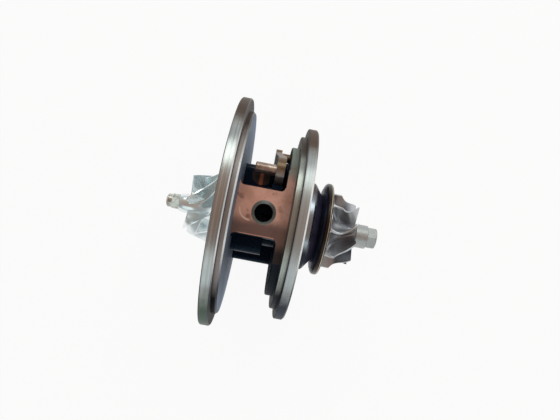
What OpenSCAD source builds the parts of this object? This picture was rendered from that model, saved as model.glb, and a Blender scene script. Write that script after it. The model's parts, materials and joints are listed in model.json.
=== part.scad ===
// Turbocharger centre cartridge with a variable-vane lever.
// Millimetres. X runs along the shaft towards the turbine, +Z is up at the oil inlet.
// The origin is on the shaft axis, in the middle of the compressor-side rim.

/* [Compressor flange] */
// Radius of the compressor-side rim
comp_rim_r = 62.8; // [60:0.2:66]
// Width of the compressor-side rim along the shaft, with its chamfer
comp_rim_w = 5.2; // [4.8:0.1:6]
// Chamfer behind the compressor-side rim
rim_chamfer = 0.6; // [0.4:0.05:0.9]
// Radius of the step behind the rim
comp_step_r = 56; // [53:0.5:58]
// Width of the step behind the rim
comp_step_w = 2.7; // [2.4:0.1:4]

/* [Turbine flange] */
// Clear distance between the two flanges
flange_gap = 22.9; // [22.4:0.1:24]
// Radius of the turbine-side rim
turb_rim_r = 52.9; // [51:0.1:56]
// Width of the turbine-side rim along the shaft
turb_rim_w = 5.15; // [4.8:0.05:6]
// Radius of the outer step in front of the rim
turb_step_r = 48; // [47:0.2:50]
// Width of the outer step
turb_step_w = 2.95; // [2.5:0.05:3.4]
// Radius of the inner step
turb_inner_r = 41.4; // [40:0.2:44]
// Width of the inner step
turb_inner_w = 3.8; // [3.4:0.1:4.4]
// Depth of the ring-shaped recess that the inner crank swings in
crank_recess = 5; // [4.6:0.1:5.4]
// Radius of the turned hub behind the turbine flange
hub_r = 24.3; // [23.6:0.1:25]
// Width of the turned hub
hub_w = 5.6; // [5.2:0.1:6]
// Radius of the nose that carries the heat shield
nose_r = 19.2; // [18.4:0.1:20]
// Length of the cone from the hub to the nose
nose_w = 3.5; // [3.2:0.1:4.2]
// Radius of the heat shield at its rim
shield_r = 25.7; // [25:0.1:27]
// Depth of the heat shield along the shaft
shield_w = 5.2; // [4.8:0.1:5.4]
// Thickness of the heat shield
shield_t = 1.1; // [0.9:0.05:1.2]
// Edge break on the turned corners
edge = 0.45; // [0.3:0.05:0.7]
// Chamfer on the back edge of each flange
back_chamfer = 0.8; // [0.5:0.1:1]

/* [Centre body] */
// Width of the oil inlet tower
tower_w = 23.7; // [22:0.1:24.5]
// Height of the oil inlet face above the shaft axis
tower_z = 34; // [32:0.5:36]
// Corner radius where the tower runs into the flanges
tower_fillet = 2; // [1:0.25:2.5]
// Half width of the core on the lever side
core_y_lever = 16; // [14.5:0.5:16.5]
// Reach of the shelf under the rod pin
shelf_y = 27.8; // [26:0.2:28]
// Half width of the core on the plain side
core_y_plain = 20.7; // [19.5:0.1:22]
// Length of the wide part of the core
core_wide = 16.3; // [14.5:0.1:17]
// Radius of the oil inlet bore
inlet_r = 4.6; // [4:0.1:5]
// Depth of the oil inlet bore
inlet_depth = 19; // [18:0.5:20]
// Radius of the countersink at the oil inlet
inlet_sink_r = 6.1; // [5.6:0.1:6.8]
// Width of the oil drain flange
drain_w = 51; // [49:0.2:55]
// Distance from the shaft axis down to the oil drain face
drain_z = 38; // [36:0.5:40]
// Radius of the oil drain bore
drain_r = 7.5; // [6:0.25:8]
// Distance between the two drain bolts
drain_bolts = 40; // [38:0.5:41]
// Radius of the tapped holes for the drain bolts
drain_bolt_r = 2.5; // [2:0.1:2.8]

/* [Shaft and bearings] */
// Radius of the shaft in its journal bearings
journal_r = 4; // [3.8:0.1:4.2]
// Radius of the shaft under the compressor wheel
stub_r = 2.5; // [2.2:0.1:2.7]
// Outer radius of the floating journal bearings
bearing_r = 6.3; // [5.9:0.1:6.6]
// Length of a floating journal bearing
bearing_w = 7; // [6:0.25:7]
// Radius of the shaft collar that carries the turbine-side piston ring
collar_r = 7.7; // [7.3:0.1:8]
// Thickness of the thrust bearing
thrust_w = 4; // [3.6:0.1:4.2]

/* [Compressor wheel] */
// Inlet radius of the compressor wheel at its blade tips
comp_eye_r = 17; // [16:0.25:18]
// Outlet radius of the compressor wheel
comp_out_r = 24.5; // [23.5:0.25:24.7]
// Length of the blades along the shaft
comp_blade_l = 18.7; // [17.5:0.1:20]
// Width of the passage at the outlet
comp_out_w = 3.2; // [2.6:0.1:3.8]
// Number of full blades, with a short blade between each pair
comp_blades = 6; // [5:1:7]
// Turn of a compressor blade about the shaft in degrees
comp_wrap = 45; // [35:5:60]
// Distance across the flats of the compressor nut
nut_flats = 8; // [7.5:0.1:8.6]

/* [Turbine wheel] */
// Inlet radius of the turbine wheel
turb_in_r = 20.9; // [20:0.1:21.4]
// Outlet radius of the turbine wheel
turb_out_r = 17; // [16:0.2:17.6]
// Width of the inlet edge of the turbine blades
turb_in_w = 4.9; // [4.2:0.1:5.6]
// Length of the turbine blades along the shaft
turb_blade_l = 15.2; // [14:0.1:17]
// Number of turbine blades
turb_blades = 9; // [8:1:10]
// Forward turn of a turbine blade along its length in degrees
turb_lean = 14; // [8:1:18]
// Backward turn of a turbine blade at its outlet in degrees
turb_wrap = 38; // [28:1:42]
// Radius of the turbine wheel's nose
turb_nose_r = 6.5; // [5.8:0.1:6.8]
// Length of the round part of the nose
turb_nose_w = 7.9; // [7:0.1:8.6]
// Length of the six-sided end
turb_hex_w = 5.2; // [4.6:0.1:6]

/* [Vane lever] */
// Distance from the shaft axis to the lever spindle
spindle_y = 35.5; // [35:0.1:36]
// Radius of the lever spindle
spindle_r = 2.5; // [2.2:0.1:2.8]
// Distance from the spindle to the rod pin
lever_l = 23.1; // [22.4:0.1:23.8]
// Angle of the lever from the +Y direction in degrees
lever_angle = 119.7; // [117:0.1:120]
// Radius of the lever's eye at the rod pin
lever_eye_r = 7.5; // [6.8:0.1:7.6]
// Thickness of the lever at the rod pin
lever_t = 4.4; // [4:0.1:4.8]
// Thickness of the lever at the spindle
eye_t = 3.5; // [3.2:0.1:3.8]
// Offset along the shaft between the two ends of the cranked lever
lever_set = 1.9; // [1.5:0.1:2.2]
// Radius of the rod pin
pin_r = 3; // [2.7:0.1:3.2]
// Free length of the rod pin
pin_l = 11; // [10:0.1:11.4]
// Length of the inner crank
crank_l = 10; // [9.4:0.1:10.6]

/* [Fits] */
// Radial clearance of a running bearing
run_clear = 0.03; // [0.02:0.01:0.05]
// Radial clearance of a part that is pressed or slipped into its seat
seat_clear = 0.02; // [0.01:0.01:0.03]
// Gap at the shaft seals and around turning discs
air_gap = 0.3; // [0.25:0.05:0.4]

/* [Hidden] */
$fn = 96;

// Stations along the shaft
comp_face_x = -comp_rim_w / 2;
comp_step_x = comp_rim_w / 2;
comp_back_x = comp_step_x + comp_step_w;
turb_front_x = comp_back_x + flange_gap;
turb_step_x = turb_front_x + turb_inner_w;
turb_rim_x = turb_step_x + turb_step_w;
turb_face_x = turb_rim_x + turb_rim_w;
hub_end_x = turb_face_x + hub_w;
nose_x = hub_end_x + nose_w;
shield_x = nose_x + shield_w;
inlet_x = comp_back_x + 14.25;
inlet_floor_z = tower_z - inlet_depth;
feed_z = inlet_floor_z + 2;
feed_r = 1.2;
drain_x = comp_back_x + flange_gap / 2;

// Compressor-side seal plate and thrust parts
wheel_recess = 1.2;
plate_x = comp_face_x + wheel_recess;
plate_w = 5;
plate_r = 22;
plate_end_x = plate_x + plate_w;
deflector_w = 0.8;
chamber_r = 13.5;
thrust_x = plate_end_x + deflector_w;
thrust_end_x = thrust_x + thrust_w;
thrust_gap = 0.1;
flinger_flange_w = 1.6;
flinger_r = 8;
flinger_hub_r = 5.2;
flinger_face_x = thrust_x - thrust_gap;
thrust_feed_x = thrust_end_x - 1;
thrust_feed_r = 0.8;
washer_x = thrust_end_x + thrust_gap;
washer_w = 1.6;
shoulder_x = washer_x + washer_w;
washer_pocket_r = flinger_r + 2;
washer_pocket_x = shoulder_x + 1.3;
sleeve_r = 4.4;
screw_pcd_r = 16.8;
screw_angles = [60, 180, 300];
screw_r = 2;
screw_head_r = 3.1;
screw_depth = 5;
dowel_pcd_r = 11.6;
dowel_angles = [20, 160];
dowel_r = 1.2;

// Journal bearings, circlips and seals
clip_w = 0.9;
clip_land = 0.8;
bore_r = bearing_r + run_clear;
clip_r = bore_r + 0.7;
clip_1_x = washer_pocket_x + clip_land;
bearing_1_x = clip_1_x + clip_w + 0.2;
clip_2_x = bearing_1_x + bearing_w + 0.2;
relief_x = clip_2_x + clip_w + clip_land;
groove_x = turb_face_x + 3;
clip_4_x = groove_x - clip_land - clip_w;
bearing_2_x = clip_4_x - 0.2 - bearing_w;
clip_3_x = bearing_2_x - 0.2 - clip_w;
relief_end_x = clip_3_x - clip_land;
relief_r = bore_r + 1.2;
groove_r = 11;
groove_w = 3;
seal_bore_r = collar_r + air_gap;
collar_x = groove_x + 1.5;
collar_end_x = nose_x + 1.5;
ring_x = groove_x + groove_w + 1.4;
ring_w = 1.2;
ring_side = 0.1;

// Compressor wheel, flow from -X towards +X
comp_wheel_back_x = comp_face_x + 0.5;
comp_disc_w = 1;
comp_hub_x = comp_wheel_back_x - comp_disc_w;
comp_eye_x = comp_hub_x - comp_blade_l;
comp_hub_r = 5.6;
comp_nose_r = 4.8;
comp_nose_w = 5.2;
comp_nose_x = comp_eye_x - comp_nose_w;
nut_w = 4.4;
nut_collar_r = 3.65;
nut_collar_w = 2.8;
nut_collar_x = comp_nose_x - nut_w - nut_collar_w;
stub_end_x = nut_collar_x - 0.5;

// Turbine wheel, flow inwards and towards +X
weld_x = collar_end_x;
turb_neck_w = 3.8;
turb_back_x = weld_x + turb_neck_w;
turb_disc_w = 0.8;
turb_hub_x = turb_back_x + turb_disc_w;
turb_eye_x = turb_hub_x + turb_blade_l;
turb_root_r = 5.8;
turb_nose_x = turb_eye_x + turb_nose_w;
turb_end_x = turb_nose_x + turb_hex_w;

// Vane lever
lever_x = inlet_x + 2.25;
eye_x = lever_x - lever_set;
lever_gap = 0.6;
lever_end_x = lever_x + lever_t;
pin_x = lever_x - pin_l;
pin_pos = [spindle_y + lever_l * cos(lever_angle), lever_l * sin(lever_angle)];
spindle_eye_r = 4.2;
bush_r = spindle_r + 1.5;
recess_x = turb_face_x - crank_recess;
recess_in_r = hub_r + 2.2;
recess_out_r = turb_step_r - 3;
shelf_z = 9;
spot_r = 5.6;
spot_pos = [comp_back_x + 9.7, shelf_y - spot_r];
crank_x = recess_x + lever_gap;
crank_t = 2.6;
crank_angle = 112.5;
crank_pos = [spindle_y + crank_l * cos(crank_angle), crank_l * sin(crank_angle)];
crank_pin_r = 1.6;
block_w = 5.2;
block_l = 3.6;

// Steps of the turned hubs along the flow
hub_steps = 14;

// Meridional lines of the wheels as [x, r] for a station t along the flow
function comp_hub_line(t) = [
  comp_eye_x + comp_blade_l * sin(90 * t),
  comp_hub_r + (comp_out_r - comp_hub_r) * (1 - cos(90 * t))
];
function comp_tip_line(t) = [
  comp_eye_x + (comp_blade_l - comp_out_w) * sin(90 * t),
  comp_eye_r + (comp_out_r - comp_eye_r) * pow(1 - cos(90 * t), 1.3)
];
function turb_hub_line(t) = [
  turb_hub_x + turb_blade_l * (1 - cos(90 * t)),
  turb_in_r - (turb_in_r - turb_root_r) * sin(90 * t)
];
function turb_tip_line(t) = [
  turb_hub_x + turb_in_w + (turb_blade_l - turb_in_w) * t,
  turb_out_r + (turb_in_r - turb_out_r) * pow(1 - t, 4.6)
];

// Turn of the blades about the shaft in degrees
function comp_turn(t) = -comp_wrap * (1 - pow(1 - t, 2)) - 14 * pow(t, 3);
function turb_turn(x) = turb_lean * (x - turb_hub_x) / turb_blade_l
  - turb_wrap * pow(max(0, (x - turb_hub_x - 1.8) / (turb_blade_l - 1.8)), 2.2);

function mix(a, b, s) = a + (b - a) * s;
function in_space(p, angle) = [p[0], p[1] * cos(angle), p[1] * sin(angle)];

// One point of a blade: side is 1 or -1, t runs along the flow, s from root to tip
function comp_point(t, s, side) =
  let(p = mix(comp_hub_line(t), comp_tip_line(t), s))
  let(slope = comp_wrap / 80 * (1.05 * (1 - t) + 0.1))
  let(half = mix(0.62, 0.34, s) * sqrt(1 + pow(p[1] / 9 * slope, 2)) * (0.75 + 0.25 * min(1, 4 * t)))
  in_space(p, comp_turn(t) + side * half / p[1] * 180 / PI);
function turb_point(t, s, side) =
  let(p = mix(turb_hub_line(t), turb_tip_line(t), s))
  let(half = mix(1.0, 0.5, s) * (1 + 0.7 * t * t) * (1 - 0.35 * pow(t, 6)))
  in_space(p, turb_turn(p[0]) + side * half / p[1] * 180 / PI);

// Faces of a blade grid with n steps along the flow and m from root to tip
function at(k, i, j, n, m) = k * (n + 1) * (m + 1) + i * (m + 1) + j;
function quad(a, b, c, d) = [[a, b, c], [a, c, d]];
function blade_faces(n, m) = concat(
  [for (i = [0:n - 1]) for (j = [0:m - 1]) for (f = quad(at(0, i, j, n, m), at(0, i, j + 1, n, m),
    at(0, i + 1, j + 1, n, m), at(0, i + 1, j, n, m))) f],
  [for (i = [0:n - 1]) for (j = [0:m - 1]) for (f = quad(at(1, i, j, n, m), at(1, i + 1, j, n, m),
    at(1, i + 1, j + 1, n, m), at(1, i, j + 1, n, m))) f],
  [for (j = [0:m - 1]) for (f = quad(at(0, 0, j, n, m), at(1, 0, j, n, m),
    at(1, 0, j + 1, n, m), at(0, 0, j + 1, n, m))) f],
  [for (j = [0:m - 1]) for (f = quad(at(0, n, j, n, m), at(0, n, j + 1, n, m),
    at(1, n, j + 1, n, m), at(1, n, j, n, m))) f],
  [for (i = [0:n - 1]) for (f = quad(at(0, i, 0, n, m), at(0, i + 1, 0, n, m),
    at(1, i + 1, 0, n, m), at(1, i, 0, n, m))) f],
  [for (i = [0:n - 1]) for (f = quad(at(0, i, m, n, m), at(1, i, m, n, m),
    at(1, i + 1, m, n, m), at(0, i + 1, m, n, m))) f]
);

// A compressor blade from station t0 to the outlet
module comp_blade(t0) {
  n = 9;
  m = 3;
  polyhedron(
    points = [for (side = [1, -1]) for (i = [0:n]) for (j = [0:m])
      comp_point(mix(t0, 0.99, i / n), mix(-0.09, 1, j / m), side)],
    faces = blade_faces(n, m)
  );
}

// A turbine blade from its inlet edge to its outlet edge
module turb_blade() {
  n = 9;
  m = 3;
  polyhedron(
    points = [for (side = [1, -1]) for (i = [0:n]) for (j = [0:m])
      turb_point(i / n, mix(-0.06, 1, j / m), side)],
    faces = blade_faces(n, m)
  );
}

// A turned shape about the shaft axis from a profile of [radius, x]
module turned(profile) {
  rotate([0, 90, 0]) rotate_extrude() polygon(profile);
}

// A round bar along the shaft axis
module bar(r, x0, x1) {
  translate([x0, 0, 0]) rotate([0, 90, 0]) cylinder(r = r, h = x1 - x0);
}

// A tube along the shaft axis
module tube(r0, r1, x0, x1) {
  difference() {
    bar(r1, x0, x1);
    bar(r0, x0 - 1, x1 + 1);
  }
}

// A flat shape in the Y-Z plane, drawn from x0 to x1
module slab(x0, x1) {
  translate([x0, 0, 0]) rotate([90, 0, 90]) linear_extrude(x1 - x0) children();
}

// A split ring with a gap towards the given angle
module split_ring(r0, r1, x0, x1, gap, angle) {
  difference() {
    tube(r0, r1, x0, x1);
    rotate([angle, 0, 0]) translate([x0 - 1, 0, -gap / 2]) cube([x1 - x0 + 2, r1 + 1, gap]);
  }
}

// Corner points of a rectangle with rounded corners
function rounded_box(y0, y1, z0, z1, r) = [
  for (q = [[y1 - r, z1 - r, 0], [y0 + r, z1 - r, 90], [y0 + r, z0 + r, 180], [y1 - r, z0 + r, 270]])
    for (a = [0:15:90]) [q[0] + r * cos(q[2] + a), q[1] + r * sin(q[2] + a)]
];

// A straight drilling from a to b
module drilling(a, b, r) {
  d = b - a;
  translate(a) rotate([0, acos(d[2] / norm(d)), atan2(d[1], d[0])]) cylinder(r = r, h = norm(d));
}

// Outer shape of the compressor-side flange
module compressor_disc() {
  turned([
    [0, comp_face_x], [comp_rim_r - edge, comp_face_x], [comp_rim_r, comp_face_x + edge],
    [comp_rim_r, comp_step_x - rim_chamfer], [comp_rim_r - rim_chamfer, comp_step_x],
    [comp_step_r, comp_step_x], [comp_step_r, comp_back_x - back_chamfer],
    [comp_step_r - back_chamfer, comp_back_x], [0, comp_back_x]
  ]);
}

// Outer shape of the turbine-side flange, its hub and the nose cone
module turbine_disc() {
  turned([
    [0, turb_front_x], [turb_inner_r - edge, turb_front_x], [turb_inner_r, turb_front_x + edge],
    [turb_inner_r, turb_step_x], [turb_step_r - edge, turb_step_x], [turb_step_r, turb_step_x + edge],
    [turb_step_r, turb_rim_x], [turb_rim_r - edge, turb_rim_x], [turb_rim_r, turb_rim_x + edge],
    [turb_rim_r, turb_face_x - back_chamfer], [turb_rim_r - back_chamfer, turb_face_x], [hub_r, turb_face_x],
    [hub_r, hub_end_x - 2 * edge], [hub_r - 2 * edge, hub_end_x],
    [nose_r, nose_x - edge], [nose_r - edge, nose_x], [0, nose_x]
  ]);
}

// A rounded inside corner between the tower and the compressor flange, with a thin foot
module tower_corner() {
  foot = 0.3;
  difference() {
    translate([comp_back_x, tower_w / 2 - 0.5]) square([tower_fillet + foot, tower_fillet + 0.5]);
    translate([comp_back_x + tower_fillet + foot, tower_w / 2 + tower_fillet]) circle(tower_fillet);
  }
}

// The tower under the oil inlet, with rounded corners towards both flanges
module inlet_tower() {
  translate([0, 0, -5]) linear_extrude(tower_z + 5) {
    translate([comp_back_x, -tower_w / 2]) square([flange_gap, tower_w]);
    for (side = [-1, 1]) {
      scale([1, side]) tower_corner();
      translate([comp_back_x + turb_front_x, 0]) scale([-1, side]) tower_corner();
    }
  }
}

// The cast core between the flanges, the shelf under the rod pin and the oil drain flange
module core() {
  slab(comp_back_x, comp_back_x + core_wide)
    polygon(rounded_box(-core_y_plain, core_y_lever, -drain_z + 6, 13, 4));
  slab(comp_back_x + core_wide - 0.5, turb_front_x)
    polygon(rounded_box(-15, 14, -drain_z + 6, 9, 4));
  slab(comp_back_x, eye_x - lever_gap)
    polygon(rounded_box(0, shelf_y, -22, shelf_z, 4));
  slab(eye_x - lever_gap - 0.5, turb_front_x)
    polygon(rounded_box(0, shelf_y, -22, -1, 4));
  slab(comp_back_x, turb_front_x)
    polygon(rounded_box(-drain_w / 2, drain_w / 2, -drain_z + 2, -drain_z + 10, 2.5));
  translate([comp_back_x + 1.2, -drain_w / 2 + 1, -drain_z]) cube([flange_gap - 2.4, drain_w - 2, 4]);
}

// The lug on the tower that the lever comes to rest against
module stop_lug() {
  translate([lever_x - lever_gap, tower_w / 2 - 1, pin_pos[1] - 3])
    cube([lever_t + 2 * lever_gap, pin_pos[0] - lever_eye_r - air_gap - tower_w / 2 + 1, 6]);
}

// Compressor side: wheel recess, seal plate seat, thrust chamber and washer pocket
module thrust_cuts() {
  bar(comp_out_r + 0.8, comp_face_x - 1, plate_x);
  bar(plate_r + seat_clear, plate_x - 0.5, plate_end_x);
  bar(chamber_r + seat_clear, plate_end_x - 0.5, thrust_end_x);
  bar(washer_pocket_r, thrust_end_x - 0.5, washer_pocket_x);
  for (a = screw_angles) {
    rotate([a, 0, 0]) translate([0, screw_pcd_r, 0])
      bar(screw_r + seat_clear, plate_end_x - 0.5, plate_end_x + screw_depth + 1);
  }
  for (a = dowel_angles) {
    rotate([a, 0, 0]) translate([0, dowel_pcd_r, 0])
      bar(dowel_r + seat_clear, thrust_end_x - 0.5, thrust_end_x + 3);
  }
}

// Bearing bore with circlip grooves, its relief and the turbine-side oil groove
module bearing_cuts() {
  bar(bore_r, washer_pocket_x - 0.5, groove_x + 0.5);
  for (x = [clip_1_x, clip_2_x, clip_3_x, clip_4_x]) {
    bar(clip_r + seat_clear, x - 0.05, x + clip_w + 0.05);
  }
  bar(relief_r, relief_x, relief_end_x);
  bar(groove_r, groove_x, groove_x + groove_w);
  bar(seal_bore_r, groove_x + groove_w - 0.5, nose_x + 1);
}

// Oil inlet with its countersink, the drillings to the bearings and the passages to the drain
module oil_cuts() {
  translate([inlet_x, 0, inlet_floor_z]) cylinder(r = inlet_r, h = inlet_depth + 1);
  translate([inlet_x, 0, tower_z - (inlet_sink_r - inlet_r)])
    cylinder(r1 = inlet_r, r2 = inlet_sink_r + 1, h = inlet_sink_r - inlet_r + 1);
  drilling([inlet_x, 0, feed_z], [bearing_1_x + bearing_w / 2, 0, journal_r + 1], feed_r);
  drilling([inlet_x, 0, feed_z], [bearing_2_x + bearing_w / 2, 0, journal_r + 1], feed_r);
  drilling([inlet_x, 0, feed_z + 3], [thrust_feed_x, 0, chamber_r - 0.3], thrust_feed_r);
  translate([drain_x, 0, -drain_z - 1]) cylinder(r = drain_r, h = drain_z - 8.5);
  translate([drain_x, 0, -drain_z - 1]) cylinder(r1 = drain_r + 2, r2 = drain_r, h = 2);
  translate([0, 0, -chamber_r]) bar(4.2, thrust_end_x - 0.5, drain_x);
  translate([0, 0, -12.5]) bar(3.2, drain_x, groove_x + groove_w - 0.4);
  translate([relief_x + 3.2, 0, -14]) cylinder(r = 2.4, h = 9);
}

// The core of the housing with the oil inlet tower and the drain flange
module bearing_housing() {
  color("dimgray") difference() {
    union() {
      core();
      inlet_tower();
      stop_lug();
    }
    thrust_cuts();
    bearing_cuts();
    oil_cuts();
    for (y = [-1, 1]) {
      translate([drain_x, y * drain_bolts / 2, -drain_z - 1]) cylinder(r = drain_bolt_r, h = 9);
    }
    translate([spot_pos[0], spot_pos[1], shelf_z - 0.4]) cylinder(r = spot_r, h = 2);
  }
}

module compressor_flange() {
  color("gray") difference() {
    compressor_disc();
    thrust_cuts();
  }
}

module turbine_flange() {
  color("gray") difference() {
    turbine_disc();
    bearing_cuts();
    oil_cuts();
    // Flat that is milled with the oil inlet face, crank recess and the seat of the spindle bush
    translate([turb_front_x - 1, -turb_inner_r, tower_z])
      cube([turb_inner_w + 1.2, 2 * turb_inner_r, turb_inner_r]);
    tube(recess_in_r, recess_out_r, recess_x, turb_face_x + 1);
    translate([0, spindle_y, 0]) bar(bush_r + seat_clear, turb_front_x - 1, recess_x + 1);
  }
}

module seal_plate() {
  color("silver") difference() {
    bar(plate_r, plate_x, plate_end_x);
    bar(flinger_hub_r + air_gap, plate_x - 1, plate_end_x + 1);
    bar(flinger_r + 1.4, flinger_face_x - flinger_flange_w - 0.5, plate_end_x + 1);
    tube(plate_r - 1.3, plate_r + 1, plate_x + 1.6, plate_x + 3.6);
    for (a = screw_angles) {
      rotate([a, 0, 0]) translate([0, screw_pcd_r, 0]) {
        bar(screw_r + seat_clear, plate_x - 1, plate_end_x + 1);
        bar(screw_head_r + seat_clear, plate_x - 1, plate_x + 2.2);
      }
    }
  }
}

module seal_plate_o_ring() {
  color("black") tube(plate_r - 1.3 + seat_clear, plate_r, plate_x + 1.75, plate_x + 3.45);
}

module seal_plate_screws() {
  color("gray") for (a = screw_angles) {
    rotate([a, 0, 0]) translate([0, screw_pcd_r, 0]) difference() {
      union() {
        bar(screw_head_r, plate_x + 0.3, plate_x + 2.2);
        bar(screw_r, plate_x + 2, plate_end_x + screw_depth);
      }
      translate([plate_x, 0, 0]) rotate([0, 90, 0]) cylinder(r = 1.5, h = 1.5, $fn = 6);
    }
  }
}

module oil_deflector() {
  color("lightgray") difference() {
    bar(chamber_r, plate_end_x, thrust_x);
    bar(flinger_r + 1, plate_end_x - 1, thrust_x + 1);
    translate([plate_end_x - 1, -5, -chamber_r - 1]) cube([deflector_w + 2, 10, chamber_r - flinger_r + 1]);
  }
}

module thrust_bearing() {
  color("goldenrod") difference() {
    bar(chamber_r, thrust_x, thrust_end_x);
    bar(sleeve_r + air_gap, thrust_x - 1, thrust_end_x + 1);
    // Drain cut-out below, oil feed, oil pockets on both faces and holes for the dowels
    translate([thrust_x - 1, -5, -chamber_r - 1]) cube([thrust_w + 2, 10, chamber_r - flinger_r]);
    translate([thrust_feed_x, 0, 0]) cylinder(r = thrust_feed_r, h = chamber_r + 1);
    for (a = [45, 135, 225, 315]) {
      rotate([a, 0, 0]) {
        translate([thrust_x - 1, 5.2, -0.5]) cube([1.4, 2.4, 1]);
        translate([thrust_end_x - 0.4, 5.2, -0.5]) cube([1.4, 2.4, 1]);
      }
    }
    for (a = dowel_angles) {
      rotate([a, 0, 0]) translate([0, dowel_pcd_r, 0])
        bar(dowel_r + seat_clear, thrust_x - 1, thrust_end_x + 1);
    }
  }
}

module thrust_dowels() {
  color("gray") for (a = dowel_angles) {
    rotate([a, 0, 0]) translate([0, dowel_pcd_r, 0]) bar(dowel_r, thrust_x + 0.4, thrust_end_x + 2.8);
  }
}

module compressor_piston_ring() {
  color("gray") split_ring(flinger_hub_r - 0.9, flinger_hub_r + air_gap - seat_clear,
    plate_x + 0.7, plate_x + 0.7 + ring_w - 2 * ring_side, 0.5, 60);
}

module turbine_piston_ring() {
  color("gray") split_ring(collar_r - 1.2, seal_bore_r - seat_clear,
    ring_x + ring_side, ring_x + ring_w - ring_side, 0.5, 120);
}

module bearing_circlips() {
  color("darkgray") for (x = [clip_1_x, clip_2_x, clip_3_x, clip_4_x]) {
    split_ring(bore_r - 1, clip_r, x, x + clip_w, 3, 0);
  }
}

// Pressed cup on the nose, with a rounded rim towards the turbine wheel
module heat_shield() {
  in_r = seal_bore_r + 0.6;
  color("darkslategray") turned([
    [in_r, nose_x], [nose_r - 0.6, nose_x], [shield_r - 3, nose_x + 0.8], [shield_r - 1, nose_x + 1.6],
    [shield_r - 0.3, nose_x + 2.2], [shield_r, nose_x + 2.9], [shield_r, shield_x - 0.9],
    [shield_r - 0.3, shield_x - 0.3], [shield_r - 0.9, shield_x], [shield_r - shield_t - 0.2, shield_x - 0.3],
    [shield_r - shield_t - 0.2, nose_x + 3.2], [shield_r - shield_t - 1.2, nose_x + shield_t + 1.6],
    [shield_r - shield_t - 2.6, nose_x + shield_t + 0.9], [nose_r - 1, nose_x + shield_t],
    [in_r, nose_x + shield_t]
  ]);
}

module spindle_bush() {
  color("goldenrod") translate([0, spindle_y, 0])
    tube(spindle_r + run_clear, bush_r, turb_front_x + 0.2, recess_x);
}

module journal_bearing(x) {
  color("peru") difference() {
    tube(journal_r + run_clear, bearing_r, x, x + bearing_w);
    for (a = [0:60:300]) {
      rotate([a, 0, 0]) translate([x + bearing_w / 2, 0, 0]) cylinder(r = 0.9, h = bearing_r + 1);
    }
  }
}

module journal_bearing_compressor_side() {
  journal_bearing(bearing_1_x);
}

module journal_bearing_turbine_side() {
  journal_bearing(bearing_2_x);
}

module rotor_shaft() {
  color("lightgray") difference() {
    union() {
      bar(stub_r, stub_end_x + 0.5, shoulder_x + 0.5);
      translate([stub_end_x, 0, 0]) rotate([0, 90, 0]) cylinder(r1 = stub_r - 0.5, r2 = stub_r, h = 0.5);
      bar(journal_r, shoulder_x, collar_x + 0.5);
      bar(collar_r, collar_x, collar_end_x);
    }
    tube(collar_r - 1.5, collar_r + 1, ring_x, ring_x + ring_w);
    bar(0.6, stub_end_x - 1, stub_end_x + 1.2);
  }
}

// Turned body of the turbine wheel under its blades
module turbine_hub() {
  turned(concat(
    [[0, weld_x], [collar_r - 0.3, weld_x], [collar_r - 0.3, turb_back_x],
     [turb_hub_line(2 / hub_steps)[1], turb_back_x]],
    [for (i = [2:hub_steps - 1]) [turb_hub_line(i / hub_steps)[1], turb_hub_line(i / hub_steps)[0]]],
    [[turb_root_r, turb_eye_x + 0.4], [turb_nose_r, turb_eye_x + 1.2], [turb_nose_r, turb_nose_x - 0.4],
     [turb_nose_r - 0.4, turb_nose_x], [0, turb_nose_x]]
  ));
}

module turbine_wheel() {
  color("slategray") union() {
    turbine_hub();
    for (i = [0:turb_blades - 1]) {
      rotate([93 + 360 / turb_blades * i, 0, 0]) turb_blade();
    }
    intersection() {
      translate([turb_nose_x - 0.3, 0, 0]) rotate([0, 90, 0])
        cylinder(r = turb_nose_r - 0.25, h = turb_end_x - turb_nose_x + 0.3, $fn = 6);
      turned([[0, turb_nose_x - 1], [turb_nose_r, turb_nose_x - 1], [turb_nose_r, turb_end_x - 1.6],
        [turb_nose_r - 0.6, turb_end_x - 0.6], [turb_nose_r - 1.6, turb_end_x], [0, turb_end_x]]);
    }
  }
}

// Turned body of the compressor wheel under its blades
module compressor_hub() {
  turned(concat(
    [[stub_r + seat_clear, comp_wheel_back_x], [stub_r + seat_clear, comp_nose_x],
     [comp_nose_r, comp_nose_x], [comp_hub_r, comp_eye_x - 0.6]],
    [for (i = [1:hub_steps]) [comp_hub_line(i / hub_steps)[1], comp_hub_line(i / hub_steps)[0]]],
    [[comp_out_r, comp_wheel_back_x]]
  ));
}

module compressor_wheel() {
  color("gainsboro") union() {
    compressor_hub();
    for (i = [0:comp_blades - 1]) {
      rotate([28 + 360 / comp_blades * i, 0, 0]) comp_blade(0);
      rotate([28 + 360 / comp_blades * (i + 0.5), 0, 0]) comp_blade(0.3);
    }
  }
}

module compressor_nut() {
  color("silver") difference() {
    union() {
      intersection() {
        translate([comp_nose_x - nut_w, 0, 0]) rotate([0, 90, 0])
          cylinder(r = nut_flats / sqrt(3), h = nut_w, $fn = 6);
        turned([
          [0, comp_nose_x], [nut_flats / 2 + 0.3, comp_nose_x], [nut_flats / 2 + 0.8, comp_nose_x - 0.6],
          [nut_flats / 2 + 0.8, comp_nose_x - nut_w + 0.6], [nut_flats / 2 + 0.1, comp_nose_x - nut_w],
          [0, comp_nose_x - nut_w]
        ]);
      }
      turned([[0, comp_nose_x - nut_w + 0.3], [nut_collar_r, comp_nose_x - nut_w + 0.3],
        [nut_collar_r, nut_collar_x + 0.5], [nut_collar_r - 0.5, nut_collar_x], [0, nut_collar_x]]);
    }
    bar(stub_r + seat_clear, nut_collar_x - 1, comp_nose_x + 1);
  }
}

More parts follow.
